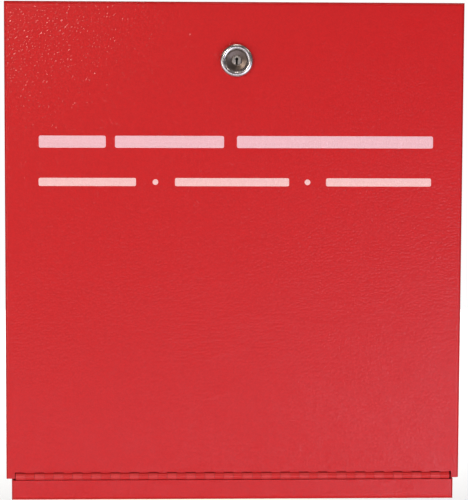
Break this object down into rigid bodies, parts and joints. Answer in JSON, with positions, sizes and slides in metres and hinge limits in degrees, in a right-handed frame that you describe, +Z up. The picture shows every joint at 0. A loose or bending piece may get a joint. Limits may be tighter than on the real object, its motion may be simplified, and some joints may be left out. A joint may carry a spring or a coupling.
{
  "type": "fire alarm document box",
  "caption": "Wall-mounted red sheet-steel document box for fire alarm records, with a drop-down door on a continuous bottom hinge and a key cam lock.",
  "frame": {"origin": "centre of the four wall screw holes, on the outer face of the back panel", "axes": "+Z up the wall, +Y into the wall, -Y the front, +X to the right seen from the front"},
  "size_m": [0.3048, 0.0613, 0.3334],
  "materials": {
    "red_powder_coat": "fine-textured powder coat",
    "hinge_powder_coat": "thin, smoother powder coat over the hinge",
    "pin_steel": "plain steel, cut ends showing",
    "lock_chrome": "bright chrome plate",
    "lock_face": "satin plated, turned dish",
    "zinc_plate": "zinc plated steel",
    "cam_zinc": "yellow zinc plated steel",
    "lock_brass": "plain brass",
    "spring_steel": "spring wire",
    "sheet_paper": "white printed card",
    "pocket_film": "clear vinyl film",
    "stick_plastic": "black ABS",
    "board_green": "solder-mask green",
    "chip_black": "moulded chip body",
    "connector_steel": "nickel plated shell",
    "tongue_white": "white nylon",
    "contact_gold": "gold flash"
  },
  "bodies": {
    "box": {"back_box": "red_powder_coat", "hinge_lower_leaf": "hinge_powder_coat", "hinge_pin": "pin_steel", "key_hook_upper": "zinc_plate", "key_hook_lower": "zinc_plate", "memory_clip": "zinc_plate"},
    "door": {"door_panel": "red_powder_coat", "hinge_upper_leaf": "hinge_powder_coat", "lock_housing": "lock_chrome", "lock_washer": "zinc_plate", "lock_nut": "lock_brass", "legend_sheet": "sheet_paper", "card_pocket_left": "pocket_film", "card_pocket_right": "pocket_film"},
    "lock_turner": {"lock_plug": "lock_face", "lock_wafers": "lock_brass", "wafer_springs": "spring_steel", "stop_washer": "zinc_plate", "lock_cam": "cam_zinc", "cam_lock_washer": "zinc_plate", "cam_screw": "zinc_plate"},
    "memory_stick": {"stick_back_shell": "stick_plastic", "stick_front_shell": "stick_plastic", "stick_board": "board_green", "stick_memory_chip": "chip_black", "stick_controller": "chip_black", "stick_connector": "connector_steel", "stick_tongue": "tongue_white", "stick_contacts": "contact_gold"}
  },
  "joints": [
    {"name": "door_hinge", "type": "hinge", "parent": "box", "child": "door", "pos_m": [0, -0.05725, -0.14955], "axis": [1, 0, 0], "range_deg": [0, 180]},
    {"name": "lock_turn", "type": "hinge", "parent": "door", "child": "lock_turner", "pos_m": [0.001, -0.05715, 0.1292], "axis": [0, -1, 0], "range_deg": [0, 90]},
    {"name": "stick_slide", "type": "slide", "parent": "box", "child": "memory_stick", "axis": [0, 0, 1], "range_m": [0, 0.024]}
  ]
}
